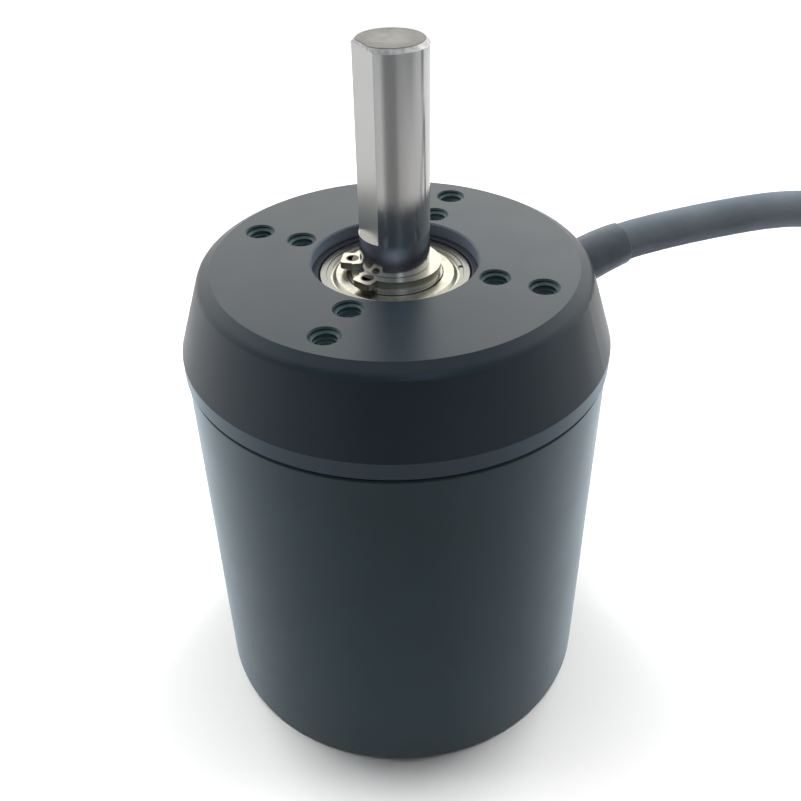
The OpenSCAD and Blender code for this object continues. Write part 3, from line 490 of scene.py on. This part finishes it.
# Sensor board. Green solder mask on glass laminate, three moulded sensors over the
# magnets' edge and three plated screws into the insulator's posts. The magnets have the
# screws' zinc.
mask = Finish("solder_mask", (0.015, 0.11, 0.05), {"Roughness": 0.25, "Coat Weight": 0.3})
mask.feed("Base Color", mask.clouds(0.003, 0.45, 0.52, 2).tint((0.012, 0.10, 0.045), (0.02, 0.16, 0.075)))
mask.dress(nodes["hall_board"])
chip = Finish("chip_body", (0.02, 0.02, 0.022), {"Roughness": 0.6})
chip.feed("Roughness", chip.place.noise(0.0004, 3) * 0.3 + 0.45)
chip.dress(nodes["hall_sensors"])
zinc = Finish("zinc_screw", (0.62, 0.63, 0.64), {"Metallic": 1, "Roughness": 0.3})
zinc.feed("Roughness", zinc.place.noise(0.0008, 4) * 0.3 + 0.18)
zinc.dress(nodes["board_screws"], nodes["magnets"])

# Table. A round sheet of white paper carries the motor. A much wider one, 1 mm lower and out
# of the camera's sight, catches light and shows in reflections, so that no edge of a table
# cuts through a low view.
bpy.ops.object.select_all(action="DESELECT")
bpy.ops.mesh.primitive_circle_add(vertices=96, radius=0.36, fill_type="NGON")
table = bpy.context.object
table.name = "table"
bpy.ops.object.select_all(action="DESELECT")
bpy.ops.mesh.primitive_plane_add(size=6, location=(0, 0, -0.001))
far_table = bpy.context.object
far_table.name = "far_table"
far_table.visible_camera = False
paper = Finish("white_paper", (0.95, 0.95, 0.95), {"Roughness": 0.9})
paper.dress(table, far_table)

# Lamps. A long ceiling lamp above the motor, a window behind it on either side, and a faint
# even light from the room. They light surfaces and make the soft shadows, but aren't seen in
# reflections: those have the dome and the boards below.
world = bpy.data.worlds.new("room")
world.use_nodes = True
background = world.node_tree.nodes["Background"]
background.inputs["Color"].default_value = (1, 1, 1, 1)
background.inputs["Strength"].default_value = 0.11
world.cycles_visibility.glossy = False
bpy.context.scene.world = world
bpy.context.scene.view_settings.view_transform = "Standard"


def soft_box(name, place, width, depth, power):
    """A flat lamp that points at the motor. Its place is given as the camera sees it."""
    lamp = bpy.data.objects.new(name, bpy.data.lights.new(name, "AREA"))
    lamp.data.shape = "RECTANGLE"
    lamp.data.size = width
    lamp.data.size_y = depth
    lamp.data.energy = power
    bpy.context.collection.objects.link(lamp)
    lamp.location = turn @ Vector(place)
    lamp.rotation_euler = (turn @ -Vector(place)).to_track_quat("-Z", "Y").to_euler()
    lamp.visible_camera = lamp.visible_glossy = False


soft_box("ceiling_lamp", (0, 0.059, 1), 0.8, 0.127, 6.8)
soft_box("left_window", (-0.56, 0.58, 0.6), 0.6, 0.6, 8.2)
soft_box("right_window", (0.56, 0.58, 0.6), 0.6, 0.6, 8.2)

# Dome. What the motor's skin mirrors of the room, by direction: walls that grow brighter and
# warmer toward the back, a bright patch on the right, a dull strip low at the back, a grey
# ceiling, and a wide lamp low in front.
bpy.ops.object.select_all(action="DESELECT")
bpy.ops.mesh.primitive_uv_sphere_add(segments=48, ring_count=24, radius=2.5)
dome = bpy.context.object
dome.name = "dome"
silk = Finish("silk", (0, 0, 0), {"Roughness": 1, "Emission Strength": 1, "Specular IOR Level": 0})
look = silk.place.node("VectorMath", {"operation": "NORMALIZE"}, {0: silk.place})
look_x, look_y, look_z = (look.node("SeparateXYZ", {}, {0: look}, i) for i in range(3))
beside = look_x * math.cos(camera_bearing) + look_y * math.sin(camera_bearing)
behind = look_y * math.cos(camera_bearing) - look_x * math.sin(camera_bearing)
toward_back = behind * 0.5 + 0.5
patch = beside.window((0.03, 0.2), (0.28, 0.42)) * look_z.between(0.3, 0.5)
walls = toward_back * 0.8 + toward_back * toward_back * 1.25 + 0.12 + patch * 0.7
dull_strip = behind.between(0.45, 0.85) * (1 - look_z.between(0.15, 0.38))
walls = walls * (1 - dull_strip * 0.45)
ceiling = look_z.between(0.72, 0.95)
in_front = (0 - behind).between(0.25, 0.45) * (1 - beside.maths("ABSOLUTE", beside).between(0.5, 0.85))
lamp_front = in_front * look_z.window((0.36, 0.42), (0.462, 0.484))
glow = walls * (1 - ceiling) + ceiling * 0.5 + lamp_front * 0.56
wall_hue = toward_back.between(0.1, 0.6).tint((0.9, 1, 1.15), (1.03, 1, 0.94))
silk.feed("Emission Color", glow.tint((0, 0, 0), wall_hue))
silk.dress(dome)
dome.visible_camera = dome.visible_diffuse = False
dome.visible_shadow = dome.visible_transmission = False

# Backdrop. A plain white sphere round everything, which the camera alone sees. It gives no
# light and no reflection.
bpy.ops.object.select_all(action="DESELECT")
bpy.ops.mesh.primitive_uv_sphere_add(segments=48, ring_count=24, radius=2.8)
backdrop = bpy.context.object
backdrop.name = "backdrop"
white = Finish("backdrop_white", (0, 0, 0),
               {"Roughness": 1, "Emission Color": (1, 1, 1, 1), "Emission Strength": 1})
white.dress(backdrop)
backdrop.visible_glossy = backdrop.visible_diffuse = False
backdrop.visible_shadow = backdrop.visible_transmission = False

# Boards. Rings of grey card round the motor, the innermost sloping up from its foot, seen in
# reflections alone. They stand for what lies on and round the table, and give the shaft, the
# flank and the can their bands.


def board(name, near, far, low, high, shades, hue):
    """A ring of card from radius near at height low to radius far at height high. Each shade is a
    bearing from the camera's side in degrees, the grey at the near edge and the grey at the far
    edge. The hue tints them all."""
    data = bpy.data.meshes.new(name)
    corners, faces, greys = [], [], []
    for bearing in range(shades[0][0], shades[-1][0] + 1, 2):
        before, after = next(pair for pair in zip(shades, shades[1:]) if pair[1][0] >= bearing)
        share = (bearing - before[0]) / (after[0] - before[0])
        angle = math.radians(bearing)
        way = turn @ Vector((math.sin(angle), -math.cos(angle), 0))
        corners += [way * near + Vector((0, 0, low)), way * far + Vector((0, 0, high))]
        greys += [(1 - share) * before[edge] + share * after[edge] for edge in (1, 2)]
        if bearing > shades[0][0]:
            here = len(corners)
            faces.append([here - 4, here - 3, here - 1, here - 2])
    data.from_pydata(corners, [], faces)
    shade = data.color_attributes.new("shade", "FLOAT_COLOR", "POINT")
    for spot, grey in zip(shade.data, greys):
        spot.color = (*(grey * part for part in hue), 1)
    shown = bpy.data.objects.new(name, data)
    bpy.context.collection.objects.link(shown)
    sheet = Finish(name, (0, 0, 0), {"Roughness": 1, "Emission Strength": 1, "Specular IOR Level": 0})
    sheet.feed("Emission Color", sheet.place.node("Attribute", {"attribute_name": "shade"}))
    sheet.dress(shown)
    shown.visible_camera = shown.visible_diffuse = False
    shown.visible_shadow = shown.visible_transmission = False


board_z = 0.014
foot_hue = (0.875, 0.99, 1.07)
foot_greys = [(-180, 1.8), (-118, 1.7), (-104, 1.35), (-88, 1.15), (-62, 0.8), (-44, 0.6), (-14, 0.42),
              (14, 0.40), (48, 0.6), (70, 0.9), (88, 1.15), (104, 1.3), (118, 1.6), (180, 1.7)]
at_foot = [(bearing, grey, grey) for bearing, grey in foot_greys]
board("boards_at_foot", 0.0307, 0.07, 0.0003, board_z, at_foot, foot_hue)
board("boards_near", 0.07, 0.115, board_z, board_z, at_foot, foot_hue)
bands = [(-180, 0.95, 0.95), (-120, 0.95, 0.95), (-100, 1, 1), (-62, 0.9, 0.9), (-52, 0.65, 0.7),
         (-33, 0.73, 0.7), (-26, 0.5, 0.45), (-18, 0.30, 0.24), (0, 0.25, 0.23), (10, 0.28, 0.24),
         (20, 0.47, 0.37), (39, 0.58, 0.41), (58, 0.68, 0.32), (80, 0.72, 0.67), (94, 0.76, 0.72),
         (98, 0.95, 0.22), (106, 0.95, 0.22), (110, 1, 1.05), (180, 1.1, 1.1)]
inner_bands = [(bearing, near, near) for bearing, near, far in bands]
outer_bands = [(bearing, far, 0.45 * far) for bearing, near, far in bands]
board("bands_near", 0.115, 0.2, board_z, board_z, inner_bands, (1.02, 1, 0.98))
board("bands", 0.2, 0.29, board_z, board_z, bands, (1, 1, 1))
board("bands_far", 0.29, 0.42, board_z, board_z, outer_bands, (0.98, 1, 1.02))
